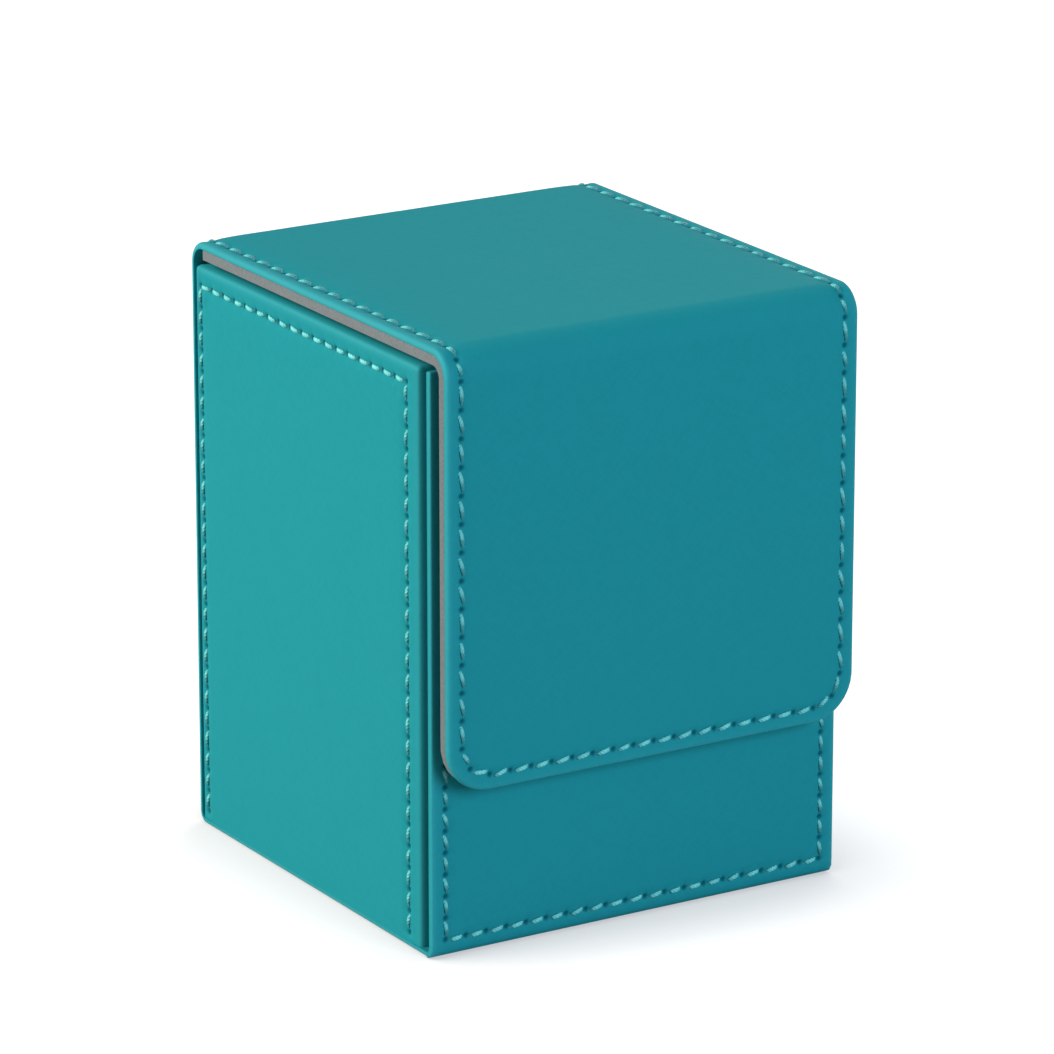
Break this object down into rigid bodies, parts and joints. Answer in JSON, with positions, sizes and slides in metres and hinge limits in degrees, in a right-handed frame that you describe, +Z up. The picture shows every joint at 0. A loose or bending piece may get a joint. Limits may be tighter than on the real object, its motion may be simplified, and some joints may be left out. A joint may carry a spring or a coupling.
{
  "type": "card storage box",
  "caption": "Upright leatherette box for a deck of cards, with a leather-hinged lid, a folding front flap held by hidden magnets, and a felt-lined card compartment.",
  "frame": {"origin": "middle of the base's underside, on the surface that the box stands on", "axes": "+X to the right as seen from the flap's side, +Y from the flap to the hinge, +Z up"},
  "size_m": [0.0804, 0.0867, 0.1063],
  "materials": {
    "leatherette": "fine cross-hatched grain, low gloss",
    "thread": "twisted polyester thread",
    "felt": "short-napped grey felt",
    "greyboard": "plain grey board",
    "magnet_plating": "nickel plated"
  },
  "bodies": {
    "box": {"front_leather": "leatherette", "front_board": "greyboard", "front_magnets": "magnet_plating", "front_stitching": "thread", "base_leather": "leatherette", "base_board": "greyboard", "back_leather": "leatherette", "back_stitching": "thread", "right_side_leather": "leatherette", "right_side_board": "greyboard", "right_side_stitching": "thread", "left_side_leather": "leatherette", "left_side_board": "greyboard", "left_side_stitching": "thread", "tray_front_board": "greyboard", "tray_back_board": "greyboard", "tray_floor_board": "greyboard", "floor_lining": "felt", "front_lining": "felt", "back_lining": "felt", "right_lining": "felt", "left_lining": "felt", "hinge_leather": "leatherette", "hinge_lining": "felt"},
    "lid": {"lid_leather": "leatherette", "lid_board": "greyboard", "lid_lining": "felt", "lid_stitching": "thread", "fold_leather": "leatherette", "fold_lining": "felt", "fold_stitching": "thread"},
    "flap": {"flap_leather": "leatherette", "flap_board": "greyboard", "flap_lining": "felt", "flap_magnets": "magnet_plating", "flap_stitching": "thread"}
  },
  "joints": [
    {"name": "lid_hinge", "type": "hinge", "parent": "box", "child": "lid", "pos_m": [0, 0.03939, 0.10514], "axis": [-1, 0, 0], "range_deg": [0, 210], "deforming": ["hinge_leather", "hinge_lining"]},
    {"name": "flap_fold", "type": "hinge", "parent": "lid", "child": "flap", "pos_m": [0, -0.04468, 0.10493], "axis": [-1, 0, 0], "range_deg": [0, 90], "deforming": ["fold_leather", "fold_lining", "fold_stitching"]}
  ]
}
